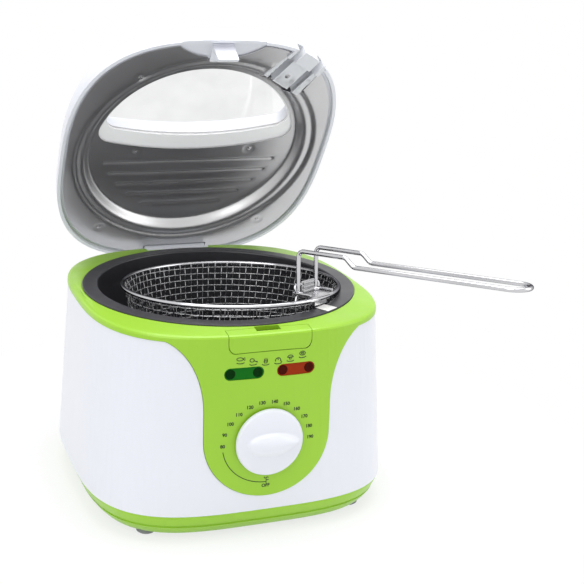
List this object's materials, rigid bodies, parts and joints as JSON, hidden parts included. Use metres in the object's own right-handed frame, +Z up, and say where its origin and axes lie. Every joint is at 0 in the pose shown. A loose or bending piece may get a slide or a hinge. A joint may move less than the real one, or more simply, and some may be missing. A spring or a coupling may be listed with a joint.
{
  "type": "mini deep fryer",
  "caption": "Small deep fryer with a sprung hinged lid and window, a fixed bowl, a hanging wire basket, a front dial and a press latch.",
  "frame": {"origin": "on the bowl's axis, in the plane of the worktop that the feet stand on", "axes": "+Z up, -Y the front with the dial, +X the viewer's right when facing the front"},
  "size_m": [0.2564, 0.3422, 0.3322],
  "materials": {
    "white_shell": "glossy white moulding",
    "lime_plastic": "satin lime moulding",
    "nonstick": "black non-stick coating",
    "liner_steel": "satin steel sheet",
    "bright_steel": "plain bright steel",
    "inner_metal": "plain aluminium",
    "element_steel": "heat-darkened tube",
    "chrome_wire": "bright plated wire",
    "mesh_steel": "plated fine mesh",
    "grey_plastic": "light grey ribbed moulding",
    "dark_plastic": "dark moulding",
    "ceramic": "unglazed ceramic",
    "foot_rubber": "grey rubber",
    "pale_rubber": "pale silicone",
    "clear_glass": "clear toughened glass",
    "green_window": "dark green clear plastic",
    "red_window": "dark red clear plastic",
    "lamp_glass": "small neon lamp",
    "brass_nut": "plain brass",
    "copper_tube": "copper capillary and bulb"
  },
  "bodies": {
    "housing": {"body_shell": "white_shell", "top_bezel": "lime_plastic", "base_tray": "lime_plastic", "rubber_feet": "foot_rubber", "base_screws": "bright_steel", "tie_posts": "white_shell", "fryer_bowl": "nonstick", "drain_rest": "bright_steel", "heat_shield": "inner_metal", "heater_plate": "inner_metal", "heating_element": "element_steel", "element_clips": "bright_steel", "element_insulators": "ceramic", "centre_stud": "bright_steel", "stud_nut": "brass_nut", "thermal_cutout": "dark_plastic", "thermostat": "dark_plastic", "thermostat_probe": "copper_tube", "terminal_block": "ceramic", "green_lens": "green_window", "red_lens": "red_window", "neon_lamps": "lamp_glass", "cord_gland": "dark_plastic", "hinge_well": "white_shell", "hinge_pin": "bright_steel", "lid_spring": "bright_steel", "latch_spring": "bright_steel"},
    "lid": {"lid_shell": "white_shell", "lid_liner": "liner_steel", "window_frame": "white_shell", "window_glass": "clear_glass", "window_gasket": "pale_rubber", "handle_port": "grey_plastic", "lid_catch": "white_shell", "lid_screws": "bright_steel"},
    "dial": {"dial_knob": "white_shell", "dial_shaft": "brass_nut"},
    "latch": {"latch_button": "lime_plastic"},
    "basket": {"basket_rim": "chrome_wire", "basket_mesh": "mesh_steel", "basket_bracket": "bright_steel", "basket_eyes": "chrome_wire", "basket_handle": "chrome_wire"}
  },
  "joints": [
    {"name": "lid_hinge", "type": "hinge", "parent": "housing", "child": "lid", "pos_m": [0, 0.1096, 0.1334], "axis": [-1, 0, 0], "range_deg": [-56, 0], "stiffness_Nm_per_rad": 0.4, "springref_deg": 57.3},
    {"name": "dial_turn", "type": "hinge", "parent": "housing", "child": "dial", "pos_m": [0, -0.115, 0.0714], "axis": [0, 1, 0], "range_deg": [-270, 0]},
    {"name": "latch_press", "type": "hinge", "parent": "housing", "child": "latch", "pos_m": [0, -0.1044, 0.1454], "axis": [1, 0, 0], "range_deg": [0, 9], "stiffness_Nm_per_rad": 0.05, "springref_deg": -17.19},
    {"name": "basket_dip", "type": "slide", "parent": "housing", "child": "basket", "axis": [0.203, -0.2207, 0.954], "range_m": [-0.0355, 0]}
  ],
  "couplings": [
    {"joint": "basket_dip", "follows": "lid_hinge", "m_per_rad": 0.0362}
  ]
}
